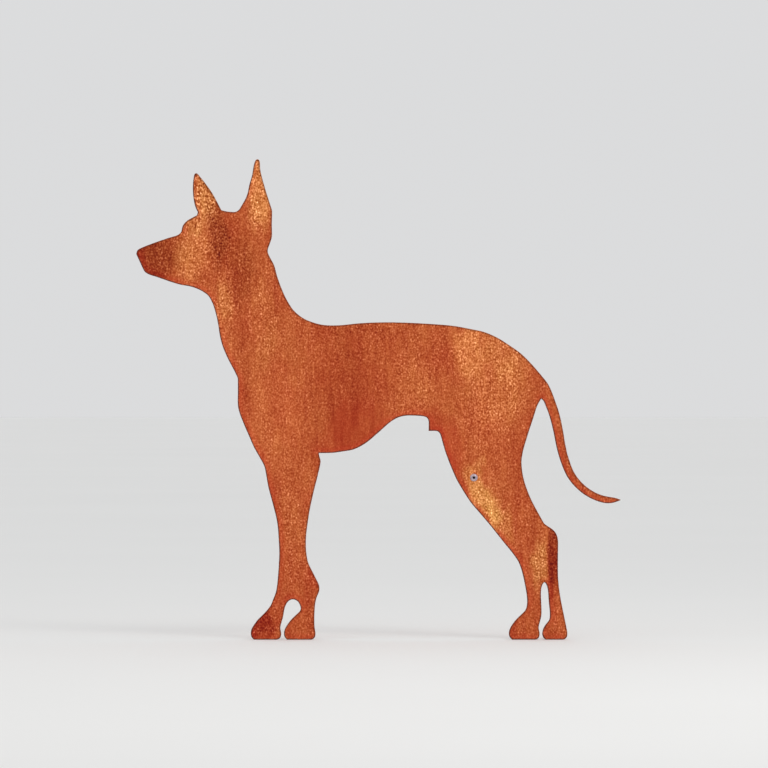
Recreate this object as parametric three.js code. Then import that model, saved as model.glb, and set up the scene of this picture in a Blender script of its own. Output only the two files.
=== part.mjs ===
// A garden silhouette of a standing, prick-eared dog, cut from one flat weathering-steel plate.
//
// The plate stands in the XZ plane with its thickness along Y. The dog looks along -X, +Z is up,
// and its paws are cut off flat at the ground, z = 0. The origin is on the sole of the leading
// forepaw. Sizes are in millimetres.

import * as THREE from 'three';

// Driving dimensions.
const height = 500; // ground to the tip of the taller ear
const backline = 330; // ground to the highest point of the level back
const brisket = 194; // ground to the underside of the chest
const thickness = 3; // of the plate
const cutTolerance = 0.04; // how far a facet may stray from the curve it stands for

// Places along the body, measured from the leading forepaw: -X is towards the nose.
const noseX = -138;
const chestX = -32.3; // front of the chest, a short vertical stretch
const legFrontX = 10.8; // straight front of the forelegs
const nearForePaw = { toe: -19, heel: 12.8 };
const farForePaw = { toe: 15.6, heel: 48.5 };
const nearHindPaw = { toe: 249.5, heel: 281.6 };
const farHindPaw = { toe: 284.2, heel: 310.5 };
const hockX = 300.7; // straight rear of the hind legs

// The tail: a round-backed blade that hangs from the croup and ends in a point.
const tail = { rootWidth: 11.2, endWidth: 6.9, pointFrom: 0.89, steps: 40 };

// A pop rivet through the upper thigh, with the broken-off mandrel's hole in its head.
const rivet = {
  x: 213.2,
  z: 168.5,
  headDiameter: 8,
  headRise: 1.1,
  shankDiameter: 4,
  boreDiameter: 2.6,
  boreDepth: 2.4,
  setDiameter: 5.6, // the upset end behind the plate
  setLength: 2.8,
  clearance: 0.3, // from the plate, all round
};

const corten = new THREE.MeshStandardMaterial({ color: 0xb4562a, roughness: 0.92, metalness: 0.05 });
const zinc = new THREE.MeshStandardMaterial({ color: 0xb9b4bd, roughness: 0.45, metalness: 0.85 });

// A point of the outline, which is drawn in its own plane and stood up afterwards.
const at = (x, z) => new THREE.Vector3(x, z, 0);

// Halves a stretch of a curve until each half is straight to within the cutting tolerance.
// Gives the points after the stretch's first one.
function facets(curve, start, end) {
  const halfway = (start + end) / 2;
  const chord = new THREE.Line3(curve.getPoint(start), curve.getPoint(end));
  const middle = curve.getPoint(halfway);
  if (chord.closestPointToPoint(middle, true, at(0, 0)).distanceTo(middle) < cutTolerance) {
    return [chord.end];
  }
  return [...facets(curve, start, halfway), ...facets(curve, halfway, end)];
}

// One smooth edge through the given [x, z] stations.
function edge(...stations) {
  const curve = new THREE.CatmullRomCurve3(stations.map(([x, z]) => at(x, z)), false, 'centripetal');
  const spans = stations.length - 1;
  const points = [curve.getPoint(0)];
  for (let span = 0; span < spans; span += 1) {
    points.push(...facets(curve, span / spans, (span + 1) / spans));
  }
  return points;
}

// Joins edges end to end into one closed outline, with each shared corner in it once.
function outlineOf(...edges) {
  const points = edges.flat();
  return points.filter((point, i) => point.distanceTo(points[(i + 1) % points.length]) > 0.01);
}

// The tail: down its outer edge to the point, then back up its inner edge to the crotch.
function tailBlade() {
  const spine = new THREE.CatmullRomCurve3([
    at(291, 250.4), at(296.4, 235.6), at(300.6, 218.5), at(304.1, 199.8), at(308.2, 185.2),
    at(314.3, 170.9), at(324, 159.1), at(335.9, 150.6), at(350, 145.5), at(366.2, 145.3),
  ], false, 'centripetal');
  const outer = [];
  const inner = [];
  for (let step = 0; step <= tail.steps; step += 1) {
    const share = step / tail.steps;
    const closing = Math.max(0, (share - tail.pointFrom) / (1 - tail.pointFrom));
    const full = tail.endWidth + (tail.rootWidth - tail.endWidth) * (1 - share) ** 1.2;
    const width = full * (1 - closing ** 2.2);
    const heading = spine.getTangentAt(share);
    const aside = at(-heading.y, heading.x).multiplyScalar(width / 2);
    outer.push(spine.getPointAt(share).add(aside));
    inner.unshift(spine.getPointAt(share).sub(aside));
  }
  return [...outer, ...inner];
}

// The front of a paw from its flat sole over the toes to the instep. The foremost toe is at toe;
// the paw runs back from there by length, where it disappears into its leg.
function toes({ toe }, length = 17.5) {
  const profile = [
    [3.5, 0], [0.9, 2.4], [0, 6.8], [1.1, 11.4], [4, 16.2], [7.5, 20.8], [12, 25.2], [17.5, 31],
  ];
  return profile.filter(([back]) => back <= length).map(([back, z]) => [toe + back, z]);
}

// The rear of a paw from the pastern over the heel pad down to the flat sole.
function heelPad({ heel }) {
  return [[heel - 1, 12.5], [heel, 6.5], [heel - 0.8, 2], [heel - 3.5, 0]];
}

// The whole outline, clockwise from the tip of the nose.
function silhouette() {
  const muzzleTop = edge(
    [noseX, 401], [-136.8, 405], [-132.2, 407.7], [-118, 413.2], [-104.3, 417.9], [-94.6, 421],
    [-91.2, 424], [-90.2, 429], [-88, 433], [-83.5, 436.8], [-79, 439.2], [-74.8, 441.4],
  );
  const nearEar = edge(
    [-74, 444.6], [-76.6, 450.3], [-78.2, 457.4], [-79, 465], [-79.1, 473], [-78.4, 479.6],
    [-77.5, 484], [-75.8, 485.6], [-74.1, 484.4], [-70.8, 480.4], [-67.6, 476.6], [-64.1, 471.8],
    [-60.6, 467], [-56.2, 459.6], [-49.6, 446.8],
  );
  const poll = edge([-49.6, 446.8], [-45, 445.5], [-39, 444.8], [-34.5, 444.9], [-31, 447]);
  const farEar = edge(
    [-31, 447], [-27.8, 452.4], [-24.4, 458.4], [-22, 464.8], [-20.4, 473], [-17.6, 482.4],
    [-16.3, 490.6], [-15.2, 495.6], [-13.6, 499.1], [-11.6, height], [-9.9, 498.8], [-9.3, 495.4],
    [-9.2, 490.4], [-7.9, 483.4], [-5.6, 475], [-3.3, 466.8], [-0.9, 459.4], [3.4, 446],
  );
  const neckAndBack = edge(
    [3.4, 446], [3, 432], [3.1, 419], [1, 412], [-1.4, 404], [1.3, 397.1], [5.2, 390], [8, 380],
    [12.4, 367], [18, 354.4], [25.6, 342.6], [35.3, 334.5], [46.4, 329.7], [58, 327.1], [74, 327],
    [94, 329], [118, backline], [142, backline - 0.3], [170, 328.2], [192, 326.3], [212, 322.6],
    [224, 319.9], [238, 313.8], [250, 306.2], [261.8, 297.8], [272.7, 287.1], [282.7, 275.6], [290.2, 266],
    [294, 258.4],
  );
  const thighBack = edge(
    [283.2, 250.4], [279.2, 243.5], [276.1, 233.9], [271.5, 220.1], [267.1, 206], [264.2, 195.5],
    [262.7, 185.5], [263.4, 175.5], [265.4, 165.5], [269.4, 153.5], [274, 143.1], [280.1, 131.7],
    [286.3, 120.6],
  );
  const hock = edge(
    [286.3, 120.6], [290.6, 117.6], [295, 114.7], [298.9, 110], [hockX, 103.5], [hockX, 92],
    [hockX, 66], [hockX + 1, 54], [hockX + 3, 41], [306.5, 27], ...heelPad(farHindPaw),
  );
  const hindLegSlot = edge(
    ...toes(farHindPaw, 8), [292.2, 28], [291, 40], [290.4, 50], [288.8, 57], [286.6, 60],
    [284.4, 57], [283, 50], [283.3, 38], [283.4, 25], ...heelPad(nearHindPaw),
  );
  const hindLegFront = edge(
    ...toes(nearHindPaw), [268.6, 38.5], [268.2, 45.5], [267, 53.5], [265.2, 62.5], [262.6, 73],
    [259.2, 81.5], [253.4, 90], [244.4, 101], [233, 115.4], [221, 129.8], [210, 142.6],
    [201.4, 155.8], [195, 167], [190, 178.4], [185, 191], [181.2, 203], [178.3, 213.8],
  );
  const sheath = edge([178.3, 213.8], [175.8, 216.6], [166.1, 217]);
  const belly = edge(
    [166.1, 217], [166.2, 222.5], [165.9, 228.4], [163.6, 231.4], [158.5, 232.5], [151, 233],
    [142.5, 232.9], [134.4, 231], [127, 226.8], [119, 219.9], [111, 212.8], [103.5, 206.4],
    [95.2, 201], [87, 197.4], [77, 195.7], [68, 194.4], [60, brisket], [51.9, brisket],
  );
  const foreLegRear = edge(
    [51.9, brisket], [52.5, 190.2], [53.8, 186.6], [52.2, 176.5], [49.5, 165.5], [46.7, 154.5],
    [44.2, 143.6], [42, 132.4], [40.3, 121], [38.9, 110.5], [38.4, 100], [39, 89.5], [41, 79.5],
    [45, 71.3], [49.4, 62.5], [52.4, 55.5], [52.2, 50], [49.9, 44.8], [48.3, 38.4], [47.4, 28],
    ...heelPad(farForePaw),
  );
  const foreLegSlot = edge(
    ...toes(farForePaw), [32.6, 35], [30.2, 39.6], [25, 42], [19.8, 39.6], [16.6, 33.5], [14.6, 23],
    ...heelPad(nearForePaw),
  );
  const foreLegFront = edge(
    ...toes(nearForePaw), [2, 36], [4.4, 42], [7.2, 49.2], [8.9, 60], [10, 74], [legFrontX, 90],
    [10.2, 104], [8.9, 120], [6.2, 133], [2.9, 145.5], [-0.5, 158], [-2.7, 170.5], [-4.7, 180.2],
    [-9.2, 188.8], [-15.4, 199.8], [-20.8, 212], [-26.4, 225], [-30.8, 236.6], [chestX, 244],
    [chestX, 257], [chestX, 272],
  );
  const throat = edge(
    [chestX, 272], [-36.5, 280.6], [-41.2, 289.4], [-45.5, 298.4], [-48.8, 307.2], [-51.2, 317],
    [-53, 329], [-55.2, 339], [-58.5, 349.5], [-63, 357.6], [-68.4, 361.8], [-74.5, 364.9], [-82, 367.4],
    [-91, 368.9], [-103, 372.4], [-115.5, 376.8], [-125.5, 380.1], [-129.4, 382.6],
  );
  const noseFront = edge([-129.4, 382.6], [-132.2, 388.3], [-135.2, 395], [noseX, 401]);
  return outlineOf(
    muzzleTop, nearEar, poll, farEar, neckAndBack, tailBlade(), thighBack, hock, hindLegSlot,
    hindLegFront, sheath, belly, foreLegRear, foreLegSlot, foreLegFront, throat, noseFront,
  );
}

function plate() {
  const shape = new THREE.Shape(silhouette().reverse());
  const rivetHole = rivet.shankDiameter / 2 + rivet.clearance;
  shape.holes.push(new THREE.Path().absarc(rivet.x, rivet.z, rivetHole, 0, 2 * Math.PI));
  const geometry = new THREE.ExtrudeGeometry(shape, { depth: thickness, bevelEnabled: false });
  const mesh = new THREE.Mesh(geometry, corten);
  mesh.name = 'dog_plate';
  mesh.rotation.x = Math.PI / 2;
  mesh.position.y = thickness / 2;
  return mesh;
}

// Turned about Y, the direction of the plate's thickness, with the head on the -Y side.
function thighRivet() {
  const faceY = -thickness / 2 - rivet.clearance;
  const backY = thickness / 2 + rivet.clearance;
  const crownY = faceY - rivet.headRise;
  const profile = [
    [0, crownY + rivet.boreDepth],
    [rivet.boreDiameter / 2, crownY + rivet.boreDepth],
    [rivet.boreDiameter / 2, crownY],
    [rivet.headDiameter * 0.27, crownY + 0.06],
    [rivet.headDiameter * 0.4, crownY + 0.32],
    [rivet.headDiameter * 0.48, crownY + 0.68],
    [rivet.headDiameter / 2, faceY],
    [rivet.shankDiameter / 2, faceY],
    [rivet.shankDiameter / 2, backY],
    [rivet.setDiameter / 2, backY + 0.5],
    [rivet.setDiameter / 2, backY + rivet.setLength * 0.5],
    [rivet.setDiameter * 0.36, backY + rivet.setLength * 0.85],
    [0, backY + rivet.setLength],
  ].map(([radius, y]) => new THREE.Vector2(radius, y));
  const mesh = new THREE.Mesh(new THREE.LatheGeometry(profile, 28), zinc);
  mesh.name = 'thigh_rivet';
  mesh.position.set(rivet.x, 0, rivet.z);
  return mesh;
}

const dog = new THREE.Group();
dog.add(plate(), thighRivet());

export default dog;
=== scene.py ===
"""Looks of a flat garden silhouette of a standing dog, cut from weathering steel and rusted.

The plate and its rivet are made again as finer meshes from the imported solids' own outline: rounded
arrises, cut edges with drag lines, rust scale and shallow pits. Lengths are in metres; where a name
or a comment says mm, it is millimetres.
"""

import math
import random

import bpy
import numpy as np
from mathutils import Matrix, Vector, kdtree, noise
from mathutils.geometry import delaunay_2d_cdt


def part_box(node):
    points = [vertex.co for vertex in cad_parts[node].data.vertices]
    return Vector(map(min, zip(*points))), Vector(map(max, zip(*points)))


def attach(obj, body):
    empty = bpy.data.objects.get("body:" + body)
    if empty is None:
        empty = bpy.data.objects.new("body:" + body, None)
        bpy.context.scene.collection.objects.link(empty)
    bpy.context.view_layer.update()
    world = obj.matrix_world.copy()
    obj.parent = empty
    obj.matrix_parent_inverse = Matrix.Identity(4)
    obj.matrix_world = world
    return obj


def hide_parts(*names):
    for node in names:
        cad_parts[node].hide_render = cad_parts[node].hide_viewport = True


MM = 0.001

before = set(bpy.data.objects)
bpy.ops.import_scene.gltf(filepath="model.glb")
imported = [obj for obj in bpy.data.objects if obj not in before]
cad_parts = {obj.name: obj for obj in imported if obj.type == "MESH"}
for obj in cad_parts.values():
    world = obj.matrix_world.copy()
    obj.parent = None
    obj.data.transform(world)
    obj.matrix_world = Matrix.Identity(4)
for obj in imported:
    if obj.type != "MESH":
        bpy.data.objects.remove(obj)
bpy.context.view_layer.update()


# ---------------------------------------------------------------------------
# The plate's outline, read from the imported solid. All of it is in mm, as (x, z).


def face_loops(node, y):
    """Closed outlines of the node's flat face at height y, with the material on their left."""
    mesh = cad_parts[node].data
    mesh.calc_loop_triangles()
    sides = set()
    for triangle in mesh.loop_triangles:
        corners = [mesh.vertices[i].co for i in triangle.vertices]
        if all(abs(co.y - y) < 1e-5 for co in corners):
            keys = [(round(co.x / MM, 3), round(co.z / MM, 3)) for co in corners]
            sides.update(zip(keys, keys[1:] + keys[:1]))
    following = {a: b for a, b in sides if (b, a) not in sides}
    loops = []
    while following:
        start, point = following.popitem()
        loop = [start]
        while point != start:
            loop.append(point)
            point = following.pop(point)
        loops.append(np.array(loop))
    loops.sort(key=len, reverse=True)
    if signed_area(loops[0]) < 0:
        loops = [loop[::-1] for loop in loops]
    return loops


def signed_area(loop):
    x, z = loop[:, 0], loop[:, 1]
    return 0.5 * float(np.sum(x * np.roll(z, -1) - np.roll(x, -1) * z))


def turn_angles(loop):
    """How far the outline turns at each point, in degrees."""
    ahead = np.roll(loop, -1, axis=0) - loop
    behind = loop - np.roll(loop, 1, axis=0)
    cross = behind[:, 0] * ahead[:, 1] - behind[:, 1] * ahead[:, 0]
    return np.degrees(np.arctan2(cross, np.sum(behind * ahead, axis=1)))


def resample(loop, step, sharp=35):
    """The loop with points every step mm along it. Its sharp corners stay where they are."""
    corners = [i for i, turn in enumerate(turn_angles(loop)) if abs(turn) > sharp] or [0]
    points = []
    fixed = []
    for first, last in zip(corners, corners[1:] + [corners[0] + len(loop)]):
        run = np.array([loop[i % len(loop)] for i in range(first, last + 1)])
        along = np.concatenate([[0], np.cumsum(np.hypot(*np.diff(run, axis=0).T))])
        count = max(1, round(along[-1] / step))
        stations = np.linspace(0, along[-1], count + 1)[:-1]
        points.extend(zip(np.interp(stations, along, run[:, 0]), np.interp(stations, along, run[:, 1])))
        fixed.extend([True] + [False] * (count - 1))
    points = np.array(points)
    fixed = np.array(fixed)[:, None]
    for _ in range(2):
        average = (np.roll(points, 1, axis=0) + 2 * points + np.roll(points, -1, axis=0)) / 4
        points = np.where(fixed, points, average)
    return points


def inward(loop):
    """Unit vectors from the outline into the material."""
    along = np.roll(loop, -1, axis=0) - np.roll(loop, 1, axis=0)
    along /= np.hypot(*along.T)[:, None]
    return np.stack([-along[:, 1], along[:, 0]], axis=1)


def room(loop, normals, reach=8.0):
    """How wide the material is at each outline point, in mm, up to reach."""
    tree = kdtree.KDTree(len(loop))
    for i, (x, z) in enumerate(loop):
        tree.insert((x, z, 0), i)
    tree.balance()
    widths = np.full(len(loop), reach)
    for i, (x, z) in enumerate(loop):
        for co, j, distance in tree.find_range((x, z, 0), reach):
            facing = normals[i] @ normals[j]
            if facing < 0.2 and normals[i] @ (loop[j] - loop[i]) > 0 and distance < widths[i]:
                widths[i] = distance
    return widths


def inside(points, loops):
    """Which points lie in the material."""
    x, z = points[:, 0], points[:, 1]
    hit = np.zeros(len(points), bool)
    for loop in loops:
        for (x0, z0), (x1, z1) in zip(loop, np.roll(loop, -1, axis=0)):
            if z0 != z1:
                crosses = (z0 > z) != (z1 > z)
                hit ^= crosses & (x < (x1 - x0) * (z - z0) / (z1 - z0) + x0)
    return hit


# ---------------------------------------------------------------------------
# The plate


# In mm, but for ROW.
HALF = 1.5  # half of the plate's thickness
ARRIS = 0.55  # width of the rounded arris on the plate's face
EDGE_STEP = 1.1  # between the points along the outline
PITCH = 1.95  # between the points on the flat faces
ROW = 0.866  # between their rows, as a share of the pitch
JITTER = 0.3  # how far each of them is moved, at most
RIM = 0.95  # how far they keep from the arris
OVERRUN = 0.03  # how far the unworn edge stands out past the solid's

# From the face to the middle of the cut edge: how far in from the outline, as a share of the
# arris, how far below the face, and how much the point belongs to the cut edge.
ROUNDING = ((1.0, 0.0, 0.0), (0.45, 0.09, 0.25), (0.1, 0.3, 0.8), (0.0, 0.62, 1.0), (0.0, 1.15, 1.0))


def ripple(x, z, seed):
    """Noise from -1 to 1."""
    return noise.noise((x, z, seed))


def scale_height(x, z, seed):
    """How far the rust stands proud of the nominal face, in mm."""
    runs = 0.05 * ripple(x / 11, z / 34, seed)
    crust = 0.055 * ripple(x / 4.6, z / 6.4, seed + 9)
    flake = ripple(x / 8.5, z / 12, seed + 21)
    step = 0.05 * min(1.0, max(0.0, (flake - 0.12) / 0.1))
    pit = noise.voronoi((x / 9, z / 9, seed + 40))[0][0]
    hollow = -0.13 * max(0.0, 1 - pit / 0.2) ** 2
    return runs + crust + step + hollow


def build_plate():
    """The plate as one closed mesh, with what its material needs to know about its edges."""
    rng = random.Random(11)
    outlines = [resample(loop, EDGE_STEP) for loop in face_loops("dog_plate", -HALF * MM)]
    rims = []
    for loop in outlines:
        normals = inward(loop)
        widths = room(loop, normals)
        arris = np.minimum(ARRIS, 0.4 * widths)
        for _ in range(3):
            arris = np.minimum(arris, (np.roll(arris, 1) + arris + np.roll(arris, -1)) / 3)
        arris = np.maximum(arris, 0.04)
        rims.append((loop, normals, arris, widths))

    faces = []
    rings = []
    points = []
    info = []  # edge distance in mm, how much the nearest edge faces down or forward, cut edge

    def add(x, y, z, distance, under, wall):
        points.append((x * MM, y * MM, z * MM))
        info.append((distance, under, wall))
        return len(points) - 1

    for loop, normals, arris, widths in rims:
        spots = len(loop)
        # under: how much each edge faces down or forward. The material uses it for a redder band and for
        # painted shade on the arris line.
        under = np.clip(0.5 + 0.75 * normals[:, 1] + 0.45 * normals[:, 0], 0, 1)
        for _ in range(3):
            under = (np.roll(under, 1) + under + np.roll(under, -1)) / 3
        bite = np.zeros(spots)
        for i, (x, z) in enumerate(loop):
            if z > 1.5:
                worn = max(0.0, ripple(x / 5.5, z / 5.5, 3.3) - 0.1) ** 1.5
                bite[i] = min(0.22 * worn + 0.03 * rng.random(), 0.12 * widths[i]) - OVERRUN
        stack = []
        for side in (-1, 1):
            part = []
            for inset, depth, wall in ROUNDING:
                ring = []
                for i, (x, z) in enumerate(loop):
                    full = arris[i] / ARRIS
                    distance = inset * arris[i] + bite[i]
                    if 0 < wall:
                        distance += 0.05 * wall * full * rng.random()
                    drop = depth * (full if depth < 0.7 else 1)
                    if side > 0 and 0 < wall < 0.5:
                        drop -= 0.12 * full * max(0.0, ripple(x / 2.2, z / 2.2, 17))
                    along = loop[i] + normals[i] * distance
                    if z < 0.01:
                        along[1] = max(along[1], inset * arris[i] * 0.6)
                    ring.append(add(along[0], side * (HALF - drop), along[1], distance, under[i], wall))
                part.append(ring)
            stack.append(part)
        chain = stack[0] + stack[1][::-1]
        for ring_a, ring_b in zip(chain, chain[1:]):
            for i in range(spots):
                j = (i + 1) % spots
                faces.append((ring_a[i], ring_a[j], ring_b[j], ring_b[i]))
        rings.append((stack[0][0], stack[1][0], under))

    # The flat faces: a jittered lattice inside the arris, one pattern for both sides.
    front = [np.array([points[i] for i in ring[0]])[:, [0, 2]] / MM for ring in rings]
    tree = kdtree.KDTree(sum(len(loop) for loop in front))
    unders = np.concatenate([ring[2] for ring in rings])
    number = 0
    for loop in front:
        for x, z in loop:
            tree.insert((x, z, 0), number)
            number += 1
    tree.balance()
    low = front[0].min(0)
    high = front[0].max(0)
    lattice = []
    row = 0
    z = low[1]
    while z < high[1]:
        x = low[0] + (row % 2) * PITCH / 2
        while x < high[0]:
            lattice.append((x + rng.uniform(-JITTER, JITTER), z + rng.uniform(-JITTER, JITTER)))
            x += PITCH
        z += PITCH * ROW
        row += 1
    lattice = np.array(lattice)
    lattice = lattice[inside(lattice, front)]
    nearest = [tree.find((x, z, 0)) for x, z in lattice]
    keep = [i for i, found in enumerate(nearest) if found[2] > RIM]
    lattice = lattice[keep]
    nearest = [nearest[i] for i in keep]

    flat = [Vector(p) for loop in front for p in loop] + [Vector(p) for p in lattice]
    borders = []
    start = 0
    for loop in front:
        borders.extend((start + i, start + (i + 1) % len(loop)) for i in range(len(loop)))
        start += len(loop)
    cdt = delaunay_2d_cdt(flat, borders, [], 0, 1e-6)
    if len(cdt[0]) != len(flat):
        raise RuntimeError("the plate's arris crosses itself")
    order = [origins[0] for origins in cdt[3]]
    triangles = np.array([[order[i] for i in face] for face in cdt[2]])
    flat_xz = np.array(flat)
    middle = flat_xz[triangles].mean(1)
    triangles = triangles[inside(middle, front)]

    rivet_at = np.array(hole_centre())
    for side, which in ((-1, 0), (1, 1)):
        names = [i for ring in rings for i in ring[which]]
        seed = 5.0 if side < 0 else 63.0
        for (x, z), (_, index, distance) in zip(lattice, nearest):
            bare = min(1.0, max(0.0, (math.hypot(*(rivet_at - (x, z))) - 4.2) / 2.5))
            near = min(1.0, distance / 2.5)
            lift = scale_height(x, z, seed) * (0.25 + 0.75 * near) * (0.1 + 0.9 * bare)
            y = side * (HALF + lift)
            names.append(add(x, y, z, distance + ARRIS, unders[index], 0.0))
        for a, b, c in triangles:
            corners = (names[a], names[b], names[c])
            faces.append(corners if side < 0 else corners[::-1])

    mesh = bpy.data.meshes.new("weathered_plate")
    mesh.from_pydata(points, [], faces)
    mesh.update()
    data = np.array(info, np.float32)
    for column, name in enumerate(("edge_mm", "under", "cut")):
        attribute = mesh.attributes.new(name, "FLOAT", "POINT")
        attribute.data.foreach_set("value", data[:, column])
    mesh.shade_smooth()
    piece = bpy.data.objects.new("weathered_plate", mesh)
    bpy.context.scene.collection.objects.link(piece)
    return piece


def hole_centre():
    """The rivet's place on the plate, in mm."""
    low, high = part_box("thigh_rivet")
    middle = (low + high) / 2 / MM
    return middle.x, middle.z


# ---------------------------------------------------------------------------
# The rivet


def turned(name, profile, centre, segments):
    """A closed solid turned about Y through centre. profile is (radius, y, material index) in mm."""
    points = []
    faces = []
    kinds = []
    rings = []
    for radius, y, _ in profile:
        if radius == 0:
            points.append((centre[0] * MM, y * MM, centre[1] * MM))
            rings.append([len(points) - 1] * segments)
            continue
        ring = []
        for k in range(segments):
            angle = 2 * math.pi * k / segments
            out = radius * (1 + 0.006 * ripple(3 * math.cos(angle), 3 * math.sin(angle), y))
            x = centre[0] + out * math.cos(angle)
            z = centre[1] + out * math.sin(angle)
            points.append((x * MM, y * MM, z * MM))
            ring.append(len(points) - 1)
        rings.append(ring)
    for (ring_a, ring_b), (_, _, kind) in zip(zip(rings, rings[1:]), profile):
        for k in range(segments):
            j = (k + 1) % segments
            corners = [ring_a[k], ring_a[j], ring_b[j], ring_b[k]]
            corners = list(dict.fromkeys(corners))
            faces.append(corners)
            kinds.append(kind)
    mesh = bpy.data.meshes.new(name)
    mesh.from_pydata(points, [], faces)
    mesh.polygons.foreach_set("material_index", kinds)
    mesh.shade_smooth()
    mesh.update()
    piece = bpy.data.objects.new(name, mesh)
    bpy.context.scene.collection.objects.link(piece)
    return piece


def build_rivet():
    low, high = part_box("thigh_rivet")
    crown = low.y / MM
    tail = high.y / MM
    seat = -HALF - 0.03
    profile = [
        (0.0, crown + 1.75, 1),
        (0.55, crown + 1.72, 1),
        (1.0, crown + 1.8, 1),
        (1.22, crown + 1.95, 1),
        (1.28, crown + 1.9, 1),
        (1.3, crown + 0.3, 1),
        (1.38, crown + 0.12, 0),
        (1.52, crown + 0.02, 0),
        (1.7, crown, 0),
        (2.0, crown + 0.03, 0),
        (2.5, crown + 0.16, 0),
        (3.05, crown + 0.38, 0),
        (3.5, crown + 0.66, 0),
        (3.82, crown + 0.95, 0),
        (3.96, crown + 1.12, 0),
        (3.98, crown + 1.22, 0),
        (3.9, crown + 1.31, 0),
        (3.7, seat, 0),
        (2.04, seat, 0),
        (1.98, seat + 0.06, 0),
        (1.98, HALF + 0.02, 0),
        (2.1, HALF + 0.05, 0),
        (2.62, HALF + 0.16, 0),
        (2.78, HALF + 0.5, 0),
        (2.76, HALF + 1.0, 0),
        (2.5, HALF + 1.5, 0),
        (2.1, HALF + 1.85, 0),
        (1.7, HALF + 2.05, 0),
        (1.5, HALF + 2.1, 1),
        (1.46, HALF + 2.3, 1),
        (1.25, tail - 0.25, 1),
        (0.7, tail - 0.06, 1),
        (0.0, tail - 0.01, 1),
    ]
    return turned("pop_rivet", profile, hole_centre(), 72)


# ---------------------------------------------------------------------------
# Materials


class Graph:
    """Short names for the nodes of one material."""

    def __init__(self, name):
        self.material = bpy.data.materials.new(name)
        self.material.use_nodes = True
        self.tree = self.material.node_tree
        self.tree.nodes.clear()

    def node(self, kind, inputs=None, **settings):
        made = self.tree.nodes.new(kind)
        for key, value in settings.items():
            setattr(made, key, value)
        for key, value in (inputs or {}).items():
            self.feed(made.inputs[key], value)
        return made

    def feed(self, socket, value):
        if isinstance(value, bpy.types.NodeSocket):
            self.tree.links.new(value, socket)
        else:
            socket.default_value = value

    def maths(self, operation, *values, clamp=False):
        made = self.node("ShaderNodeMath", operation=operation, use_clamp=clamp)
        for socket, value in zip(made.inputs, values):
            self.feed(socket, value)
        return made.outputs[0]

    def vector(self, operation, *values, scale=None):
        made = self.node("ShaderNodeVectorMath", operation=operation)
        for socket, value in zip(made.inputs, values):
            self.feed(socket, value)
        if scale is not None:
            self.feed(made.inputs["Scale"], scale)
        return made.outputs["Value" if operation in ("LENGTH", "DOT_PRODUCT") else 0]

    def noise(self, place, size, detail=0.0, roughness=0.5, shift=(0, 0, 0)):
        """Noise from 0 to 1 whose features are size = (x, y, z) mm."""
        scaled = self.node(
            "ShaderNodeMapping",
            {"Vector": place, "Scale": [1000 / s for s in size], "Location": shift},
        )
        made = self.node(
            "ShaderNodeTexNoise",
            {"Vector": scaled.outputs[0], "Scale": 1.0, "Detail": detail, "Roughness": roughness},
        )
        return made.outputs["Fac"]

    def ramp(self, value, low, high, smooth=True):
        """0 at low, 1 at high, held beyond them."""
        made = self.node(
            "ShaderNodeMapRange",
            {"Value": value, "From Min": low, "From Max": high},
            interpolation_type="SMOOTHSTEP" if smooth else "LINEAR",
        )
        return made.outputs[0]

    def blend(self, share, a, b):
        made = self.node("ShaderNodeMix", data_type="VECTOR")
        self.feed(made.inputs[0], share)
        self.feed(made.inputs[4], a)
        self.feed(made.inputs[5], b)
        return made.outputs[1]

    def surface(self, colour, roughness, normal, specular, metallic=0.0):
        """A Principled surface as the material's output."""
        made = self.node(
            "ShaderNodeBsdfPrincipled",
            {
                "Base Color": colour,
                "Roughness": roughness,
                "Metallic": metallic,
                "Specular IOR Level": specular,
            },
        )
        if normal is not None:
            self.feed(made.inputs["Normal"], normal)
        self.node("ShaderNodeOutputMaterial", {"Surface": made.outputs[0]})

    def attribute(self, name):
        return self.node("ShaderNodeAttribute", attribute_name=name).outputs["Fac"]

    def blot(self, place, centre, radii, tilt):
        """1 at the centre of an oval in the plate's plane, 0 outside it. Sizes in mm, tilt in degrees."""
        moved = self.node(
            "ShaderNodeMapping",
            {
                "Vector": place,
                "Location": (centre[0] * MM, 0, centre[1] * MM),
                "Rotation": (0, math.radians(tilt), 0),
                "Scale": (radii[0] * MM, 1000.0, radii[1] * MM),
            },
            vector_type="TEXTURE",
        )
        fall = self.node("ShaderNodeTexGradient", {"Vector": moved.outputs[0]}, gradient_type="SPHERICAL")
        return self.ramp(fall.outputs["Fac"], 0.0, 0.62)
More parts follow.
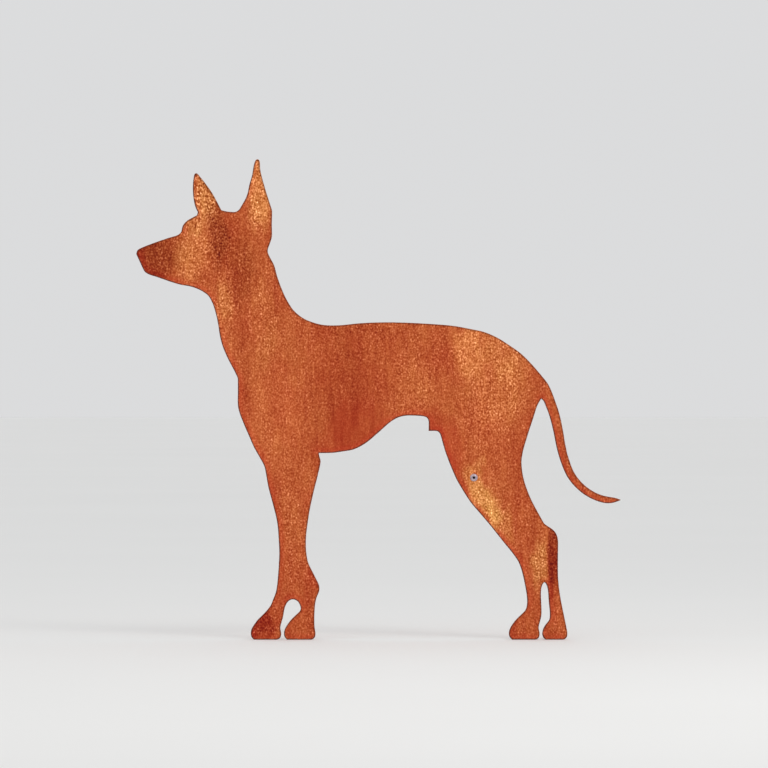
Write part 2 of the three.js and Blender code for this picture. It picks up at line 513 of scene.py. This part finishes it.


# Where the colour differs on the side that carries the rivet's head, mostly in its rust: centre and radii
# in mm, tilt in degrees, then how much lighter, how much coarser in grain and how much yellower it is.
BLOTS = {
    "muzzle": ((-124, 398), (46, 30), -14, -1.1, 0.15, 0.6),
    "nose": ((-138, 400), (16, 16), 0, -0.2, 0.0, -0.4),
    "cheek": ((-79, 398), (26, 44), 0, 0.55, 0.5, 0.5),
    "brow": ((-80, 432), (16, 14), 30, 0.2, 0.6, 0.8),
    "temple": ((-52, 420), (17, 40), 0, -0.95, 0.6, 0.9),
    "jaw_run": ((-30, 384), (20, 48), 0, -0.6, 0.2, 0.2),
    "throat": ((-50, 345), (14, 48), 8, 0.6, 0.7, 0.8),
    "nape": ((-6, 330), (16, 60), 0, 0.25, 0.25, 0.3),
    "near_ear": ((-66, 464), (20, 38), 0, 0.4, 1.3, 1.3),
    "far_ear": ((-10, 464), (18, 52), 0, 0.8, 0.9, 1.0),
    "shoulder": ((8, 236), (40, 70), 10, 0.35, 0.0, -0.1),
    "ribs": ((84, 262), (46, 76), 0, -0.4, -0.12, -0.2),
    "withers": ((96, 322), (70, 14), 0, -0.3, 0.25, 0.0),
    "brisket": ((92, 214), (60, 36), -8, -0.05, -0.45, -0.45),
    "loin": ((150, 262), (26, 60), 0, 0.05, 0.3, 0.0),
    "hip": ((207, 302), (24, 44), 0, 0.95, 0.5, 0.6),
    "croup": ((244, 296), (40, 26), 38, 0.45, 0.4, 0.5),
    "rump": ((236, 258), (44, 46), 0, 0.4, 0.45, 0.3),
    "thigh": ((222, 212), (40, 40), 0, 0.15, 0.2, 0.0),
    "flank": ((186, 205), (18, 46), -18, -0.2, -0.3, -0.7),
    "run_off": ((225, 150), (16, 44), -30, 0.95, 0.6, 1.5),
    "run_off_low": ((243, 120), (14, 34), -30, 0.45, 0.5, 0.9),
    "shin": ((281, 76), (11, 30), 0, 0.45, 0.6, 1.2),
    # hock: a darker strip down the back of the hind leg.
    "hock": ((296, 84), (9, 52), 0, -1.5, 0.2, 0.2),
    "knee": ((46, 58), (16, 24), 0, -0.35, 0.2, -0.8),
    "foreleg": ((24, 128), (22, 90), 0, 0.1, 0.15, 0.0),
    "toes": ((-8, 14), (22, 22), 0, -1.0, 0.3, -0.3),
}


def weathered_steel():
    g = Graph("weathered_steel")
    place = g.node("ShaderNodeTexCoord").outputs["Object"]
    edge = g.attribute("edge_mm")
    under = g.attribute("under")
    cut = g.attribute("cut")
    split = g.node("ShaderNodeSeparateXYZ", {"Vector": place})
    front = g.ramp(split.outputs["Y"], 0.0005, -0.0005)

    # The blots' edges are pulled about, mostly up and down, as rain does.
    stretched = g.node("ShaderNodeMapping", {"Vector": place, "Scale": (55, 55, 22)}).outputs[0]
    wander = g.node("ShaderNodeTexNoise", {"Vector": stretched, "Scale": 1.0, "Detail": 2.0})
    offset = g.vector("SUBTRACT", wander.outputs["Color"], (0.5, 0.5, 0.5))
    offset = g.vector("MULTIPLY", offset, (0.022, 0.0, 0.06))
    pulled = g.vector("ADD", place, offset)

    tone = 0.0
    grain = 0.85
    yellow = 0.0
    for centre, radii, tilt, lighter, coarser, yellower in BLOTS.values():
        blot = g.blot(pulled, centre, radii, tilt)
        tone = g.maths("MULTIPLY_ADD", blot, lighter, tone)
        grain = g.maths("MULTIPLY_ADD", blot, coarser, grain)
        yellow = g.maths("MULTIPLY_ADD", blot, yellower, yellow)
    tone = g.maths("MULTIPLY", tone, front)
    yellow = g.maths("MULTIPLY", yellow, front)

    # Rain streaks: long and narrow, on both sides.
    streak = g.noise(place, (9, 9, 80), 2.0, 0.55)
    fine_streak = g.noise(place, (2.8, 2.8, 30), 1.0, 0.5)
    cloud = g.noise(place, (34, 34, 46), 2.0, 0.5, (3, 1, 7))
    tone = g.maths("ADD", tone, g.maths("MULTIPLY", g.maths("SUBTRACT", streak, 0.5), 1.0))
    tone = g.maths("ADD", tone, g.maths("MULTIPLY", g.maths("SUBTRACT", fine_streak, 0.5), 0.95))
    tone = g.maths("ADD", tone, g.maths("MULTIPLY", g.maths("SUBTRACT", cloud, 0.5), 0.9))
    yellow = g.maths("ADD", yellow, g.maths("MULTIPLY", g.maths("SUBTRACT", cloud, 0.5), 1.4))

    # A redder, cleaner band inside the lower edges.
    band = g.maths("MULTIPLY", g.ramp(edge, 9.0, 1.5), under)
    tone = g.maths("MULTIPLY_ADD", band, 0.15, tone)
    yellow = g.maths("MULTIPLY_ADD", band, -0.9, yellow)
    grain = g.maths("MULTIPLY_ADD", band, -0.3, grain)
    grain = g.maths("MAXIMUM", grain, 0.35)

    # The grain itself: pale crystals of rust on a darker ground.
    first = g.noise(place, (1.75, 1.75, 2.15), 0.0)
    second = g.noise(place, (1.35, 1.35, 1.7), 0.0, 0.5, (5, 9, 1))
    fleck = g.maths("MULTIPLY_ADD", first, 0.62, g.maths("MULTIPLY", second, 0.38))
    crumb = g.noise(place, (3.3, 3.3, 4.4), 1.0, 0.5, (11, 5, 2))
    gate = g.noise(place, (6, 6, 26), 1.0, 0.5, (1, 8, 3))
    speck = g.maths("SUBTRACT", fleck, 0.47)
    lit = g.maths("POWER", g.maths("MAXIMUM", g.maths("MULTIPLY", speck, 5.2), 0.0), 1.8)
    lit = g.maths("MULTIPLY", lit, g.ramp(gate, 0.25, 0.75))
    mottle = g.maths("MULTIPLY_ADD", speck, 1.35, g.maths("MULTIPLY", g.maths("SUBTRACT", crumb, 0.5), 0.5))
    mottle = g.maths("MULTIPLY_ADD", lit, 0.26, mottle)
    mottle = g.maths("MULTIPLY", mottle, g.maths("MULTIPLY", grain, 0.38))

    # Colours are added up as seen on a screen, then turned into linear light at the end.
    lighter_rust = g.vector("SCALE", (0.118, 0.118, 0.078), scale=tone)
    colour = g.vector("ADD", (0.728, 0.333, 0.173), lighter_rust)
    colour = g.vector("ADD", colour, g.vector("SCALE", (0.0, 0.047, 0.016), scale=yellow))
    colour = g.vector("ADD", colour, g.vector("SCALE", (1.0, 0.97, 0.88), scale=mottle))

    # The cut edge and the arris are a dull purple-brown oxide. The arris line is darkest where it faces
    # down or forward, and that extra darkening is painted shade.
    oxide_and_shade_patches = g.noise(place, (2.6, 2.6, 2.6), 1.0, 0.5, (4, 4, 4))
    line = g.ramp(edge, 1.7, 0.4)
    # Painted shade: the under share darkens the arris line where edges face down or forward; the 0.2 is the
    # oxide, on every edge.
    strength = g.maths("MULTIPLY_ADD", under, 0.65, 0.2)
    strength = g.maths("MULTIPLY", strength, g.ramp(oxide_and_shade_patches, 0.2, 0.55))
    line = g.maths("MAXIMUM", g.maths("MULTIPLY", line, strength), g.maths("MULTIPLY", cut, 0.85))
    drag = g.noise(place, (0.5, 14, 0.5), 1.0)
    drag_lines = g.vector("SCALE", (0.3, 0.2, 0.15), scale=g.maths("SUBTRACT", drag, 0.5))
    dark = g.vector("ADD", (0.42, 0.235, 0.19), drag_lines)
    colour = g.blend(line, colour, dark)
    colour = g.vector("MAXIMUM", colour, (0.02, 0.02, 0.02))
    linear = g.node("ShaderNodeGamma", {"Color": colour, "Gamma": 2.2}).outputs[0]

    # Grit that catches the light, over wider crust.
    grit = g.maths("MULTIPLY_ADD", fleck, 0.5, g.maths("MULTIPLY", crumb, 0.7))
    grit = g.maths("MULTIPLY_ADD", g.noise(place, (0.8, 0.8, 0.9), 1.0), 0.25, grit)
    grit = g.maths("MULTIPLY_ADD", g.maths("MULTIPLY", drag, cut), 0.8, grit)
    bump = g.node("ShaderNodeBump", {"Height": grit, "Strength": 0.55, "Distance": 0.0005})
    rough = g.maths("MULTIPLY_ADD", crumb, 0.22, 0.74)
    g.surface(linear, rough, bump.outputs[0], specular=0.22)
    return g.material


def pale_metal():
    """The rivet's head and set end: dull grey metal with a little tarnish and rust dust, and a
    pinkish-lavender tint that is a painted reflection of sky.
    """
    g = Graph("pale_metal")
    place = g.node("ShaderNodeTexCoord").outputs["Object"]
    film = g.noise(place, (1.6, 1.6, 1.6), 3.0, 0.6)
    dust = g.ramp(g.noise(place, (0.9, 0.9, 1.3), 2.0, 0.6, (2, 2, 2)), 0.56, 0.72)
    # The pinkish-lavender in these greys is a painted reflection of sky; the grey itself is the metal's
    # own.
    colour = g.blend(g.ramp(film, 0.35, 0.7), (0.66, 0.60, 0.64), (0.82, 0.75, 0.79))
    colour = g.blend(g.maths("MULTIPLY", dust, 0.45), colour, (0.70, 0.40, 0.26))
    linear = g.node("ShaderNodeGamma", {"Color": colour, "Gamma": 2.2}).outputs[0]
    scratch = g.noise(place, (0.25, 0.25, 1.2), 1.0)
    bump = g.node("ShaderNodeBump", {"Height": scratch, "Strength": 0.25, "Distance": 0.0001})
    rough = g.maths("MULTIPLY_ADD", film, 0.25, 0.3)
    g.surface(linear, rough, bump.outputs[0], specular=0.5, metallic=0.55)
    return g.material


def mandrel_painted_shade():
    """The broken end of the mandrel, seen down the rivet's hole. Its near-black colour is painted shade for
    the deep hole.
    """
    g = Graph("mandrel_painted_shade")
    place = g.node("ShaderNodeTexCoord").outputs["Object"]
    film = g.noise(place, (0.5, 0.5, 0.5), 2.0, 0.6)
    # Painted shade: these near-black greys stand for the shade down the rivet's hole.
    colour = g.blend(film, (0.12, 0.11, 0.15), (0.27, 0.23, 0.28))
    linear = g.node("ShaderNodeGamma", {"Color": colour, "Gamma": 2.2}).outputs[0]
    bump = g.node("ShaderNodeBump", {"Height": film, "Strength": 0.5, "Distance": 0.0002})
    g.surface(linear, g.maths("MULTIPLY_ADD", film, 0.3, 0.3), bump.outputs[0], specular=0.5, metallic=0.6)
    return g.material


def floor_paint():
    g = Graph("floor_paint")
    place = g.node("ShaderNodeTexCoord").outputs["Object"]
    cloud = g.noise(place, (900, 900, 900), 3.0)
    colour = g.blend(cloud, (0.80, 0.80, 0.79), (0.83, 0.83, 0.82))
    g.surface(colour, g.maths("MULTIPLY_ADD", cloud, 0.1, 0.75), None, specular=0.2)
    return g.material


# ---------------------------------------------------------------------------
# The studio


def build_floor():
    """One pale disc at the height of the soles."""
    rings = 10
    segments = 96
    points = [(0.12, 0.0, 0.0)]
    for r in range(1, rings + 1):
        radius = 40 * (r / rings) ** 2
        for k in range(segments):
            angle = 2 * math.pi * k / segments
            points.append((0.12 + radius * math.cos(angle), radius * math.sin(angle), 0.0))
    faces = [(0, 1 + k, 1 + (k + 1) % segments) for k in range(segments)]
    for r in range(rings - 1):
        for k in range(segments):
            a = 1 + r * segments + k
            b = 1 + r * segments + (k + 1) % segments
            faces.append((a, a + segments, b + segments, b))
    mesh = bpy.data.meshes.new("studio_floor")
    mesh.from_pydata(points, [], faces)
    mesh.update()
    mesh.materials.append(floor_paint())
    floor = bpy.data.objects.new("studio_floor", mesh)
    bpy.context.scene.collection.objects.link(floor)


def build_light():
    """An even pale surround, a little brighter overhead, and one large soft lamp."""
    world = bpy.data.worlds.new("studio")
    world.use_nodes = True
    tree = world.node_tree
    tree.nodes.clear()
    place = tree.nodes.new("ShaderNodeTexCoord")
    split = tree.nodes.new("ShaderNodeSeparateXYZ")
    rise = tree.nodes.new("ShaderNodeMapRange")
    rise.inputs["From Min"].default_value = 0.05
    rise.inputs["From Max"].default_value = 0.9
    rise.inputs["To Min"].default_value = 0.72
    rise.inputs["To Max"].default_value = 0.92
    background = tree.nodes.new("ShaderNodeBackground")
    background.inputs["Color"].default_value = (0.985, 0.99, 1.0, 1.0)
    output = tree.nodes.new("ShaderNodeOutputWorld")
    tree.links.new(place.outputs["Generated"], split.inputs[0])
    tree.links.new(split.outputs["Z"], rise.inputs["Value"])
    tree.links.new(rise.outputs[0], background.inputs["Strength"])
    tree.links.new(background.outputs[0], output.inputs[0])
    bpy.context.scene.world = world

    lamp = bpy.data.lights.new("soft_key", "AREA")
    lamp.shape = "DISK"
    lamp.size = 1.1
    lamp.energy = 13
    lamp.color = (1.0, 0.97, 0.93)
    key = bpy.data.objects.new("soft_key", lamp)
    key.location = (1.3, -1.7, 1.9)
    aim = Vector((0.12, 0.0, 0.25)) - key.location
    key.rotation_euler = aim.to_track_quat("-Z", "Y").to_euler()
    bpy.context.scene.collection.objects.link(key)


def build_camera():
    """Square on to the plate from far off, at the photograph's height and framing. In metres."""
    away = 6.0
    seen_width = 0.7987
    lens = bpy.data.cameras.new("camera")
    lens.sensor_width = 36
    lens.lens = lens.sensor_width * away / seen_width
    lens.clip_end = 100
    camera = bpy.data.objects.new("camera", lens)
    camera.location = (0.1197, -away - HALF * MM, 0.26585)
    camera.rotation_euler = (math.pi / 2, 0, 0)
    bpy.context.scene.collection.objects.link(camera)
    bpy.context.scene.camera = camera


# ---------------------------------------------------------------------------

plate = build_plate()
plate.data.materials.append(weathered_steel())
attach(plate, "root")
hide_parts("dog_plate")

rivet = build_rivet()
rivet.data.materials.append(pale_metal())
rivet.data.materials.append(mandrel_painted_shade())
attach(rivet, "root")
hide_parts("thigh_rivet")

build_floor()
build_light()
build_camera()
bpy.context.scene.view_settings.view_transform = "Standard"
